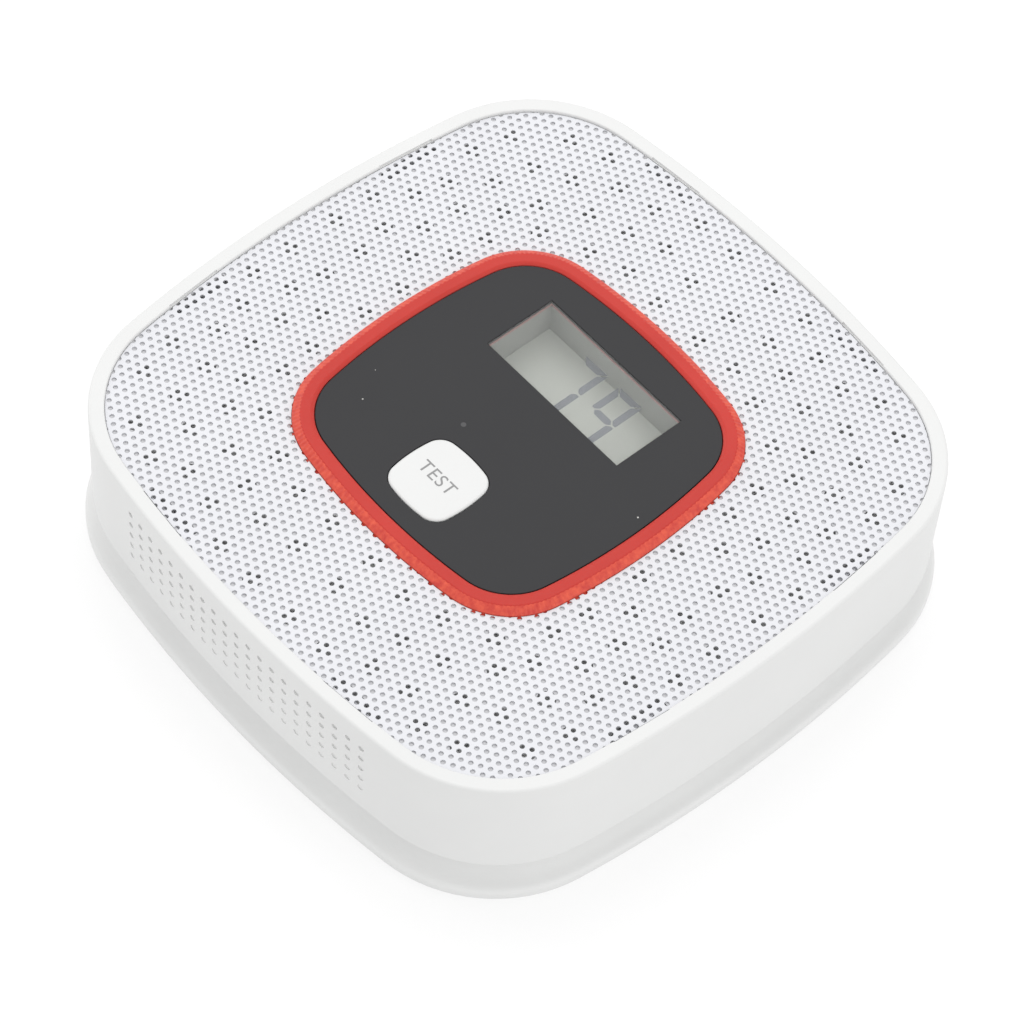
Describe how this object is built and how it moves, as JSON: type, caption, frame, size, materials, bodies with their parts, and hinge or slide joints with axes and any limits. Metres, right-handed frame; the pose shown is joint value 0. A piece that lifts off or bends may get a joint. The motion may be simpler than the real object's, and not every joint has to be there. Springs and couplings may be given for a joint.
{
  "type": "carbon monoxide detector",
  "caption": "Square wall or table carbon monoxide detector with bowed sides, a perforated grille, a red light ring round a dark display and a test button.",
  "frame": {"origin": "centre of the mounting bracket's flat back face, which lies on the wall or the table", "axes": "+Z out of the display, +Y towards the top of the display when the detector hangs on a wall, +X to the reader's right"},
  "size_m": [0.1114, 0.1114, 0.0298],
  "materials": {
    "white_plastic": "satin white moulded plastic with a very fine grain",
    "white_metal": "cool white paint on perforated sheet",
    "red_lens": "translucent red lens plastic",
    "dark_panel": "satin charcoal panel",
    "clear_plastic": "clear moulded plastic",
    "display_glass": "grey-green liquid-crystal glass",
    "black_plastic": "black moulded plastic",
    "rubber": "matt dark rubber",
    "circuit_board": "green solder mask",
    "steel": "nickel-plated steel",
    "battery_wrap": "printed shrink wrap"
  },
  "bodies": {
    "detector": {"front_cover": "white_plastic", "back_cover": "white_plastic", "display_reflector": "white_plastic", "grille": "white_metal", "light_guide": "red_lens", "alarm_led_1": "red_lens", "alarm_led_2": "red_lens", "alarm_led_3": "red_lens", "alarm_led_4": "red_lens", "display_panel": "dark_panel", "display_window": "clear_plastic", "status_light_pipe": "clear_plastic", "status_led": "clear_plastic", "display_glass": "display_glass", "switch_body": "black_plastic", "display_frame": "black_plastic", "controller_chip": "black_plastic", "sounder": "black_plastic", "contact_strip_upper": "rubber", "contact_strip_lower": "rubber", "capacitor": "rubber", "circuit_board": "circuit_board", "gas_sensor": "steel", "spring_contact_1": "steel", "spring_contact_2": "steel", "plate_contact_1": "steel", "plate_contact_2": "steel", "housing_screw_1": "steel", "housing_screw_2": "steel", "housing_screw_3": "steel", "housing_screw_4": "steel", "board_screw_1": "steel", "board_screw_2": "steel", "board_screw_3": "steel", "board_screw_4": "steel", "battery_1": "battery_wrap", "battery_2": "battery_wrap"},
    "button": {"button_cap": "white_plastic"},
    "plunger": {"switch_plunger": "black_plastic"},
    "door": {"battery_door": "white_plastic"},
    "bracket": {"mounting_bracket": "white_plastic"}
  },
  "joints": [
    {"name": "test_button", "type": "slide", "parent": "detector", "child": "button", "axis": [0, 0, -1], "range_m": [0, 0.0005], "stiffness_N_per_m": 400, "springref_m": -0.0005},
    {"name": "switch_plunger", "type": "slide", "parent": "detector", "child": "plunger", "axis": [0, 0, -1], "range_m": [0, 0.0005]},
    {"name": "battery_door_hinge", "type": "hinge", "parent": "detector", "child": "door", "pos_m": [0, -0.00085, 0.00265], "axis": [-1, 0, 0], "range_deg": [0, 100]},
    {"name": "bracket_twist", "type": "hinge", "parent": "detector", "child": "bracket", "pos_m": [0, 0, 0], "axis": [0, 0, -1], "range_deg": [0, 12]}
  ],
  "couplings": [
    {"joint": "switch_plunger", "follows": "test_button", "ratio": 1}
  ]
}
